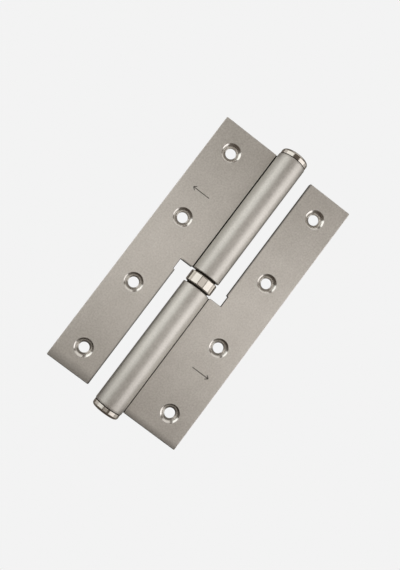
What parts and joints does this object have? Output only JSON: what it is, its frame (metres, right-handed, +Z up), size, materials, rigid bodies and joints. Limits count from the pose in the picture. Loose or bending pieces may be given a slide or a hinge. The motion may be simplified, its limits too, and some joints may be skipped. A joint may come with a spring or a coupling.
{
  "type": "lift-off hinge",
  "caption": "Handed lift-off butt hinge with rolled knuckles, countersunk leaves, a ball thrust bearing between the knuckles and pressed end caps.",
  "frame": {"origin": "on the pin's axis, at the middle of the hinge's height", "axes": "+Z up along the pin, the way the door leaf lifts off; the countersunk faces look towards -Y; the frame leaf is on +X and the door leaf on -X, open flat"},
  "size_m": [0.08, 0.0156, 0.1606],
  "materials": {
    "satin_nickel": "satin nickel plated steel",
    "polished_nickel": "polished nickel plated steel",
    "ground_steel": "ground steel"
  },
  "bodies": {
    "frame_side": {"frame_leaf": "satin_nickel", "hinge_pin": "ground_steel", "bottom_cap": "polished_nickel", "bearing_case": "polished_nickel"},
    "race_side": {"upper_race": "ground_steel"},
    "door_side": {"door_leaf": "satin_nickel", "top_cap": "polished_nickel"},
    "ball_set": {"ball_01": "ground_steel", "ball_02": "ground_steel", "ball_03": "ground_steel", "ball_04": "ground_steel", "ball_05": "ground_steel", "ball_06": "ground_steel", "ball_07": "ground_steel", "ball_08": "ground_steel", "ball_09": "ground_steel", "ball_10": "ground_steel", "ball_11": "ground_steel", "ball_12": "ground_steel", "ball_13": "ground_steel", "ball_14": "ground_steel", "ball_15": "ground_steel", "ball_16": "ground_steel"}
  },
  "joints": [
    {"name": "swing", "type": "hinge", "parent": "frame_side", "child": "race_side", "pos_m": [0, 0, 0], "axis": [0, 0, 1], "range_deg": [-90, 180]},
    {"name": "lift_off", "type": "slide", "parent": "race_side", "child": "door_side", "axis": [0, 0, 1], "range_m": [0, 0.055]},
    {"name": "ball_roll", "type": "hinge", "parent": "frame_side", "child": "ball_set", "pos_m": [0, 0, 0], "axis": [0, 0, 1], "range_deg": [-45, 90]}
  ],
  "couplings": [
    {"joint": "ball_roll", "follows": "swing", "ratio": 0.5}
  ]
}
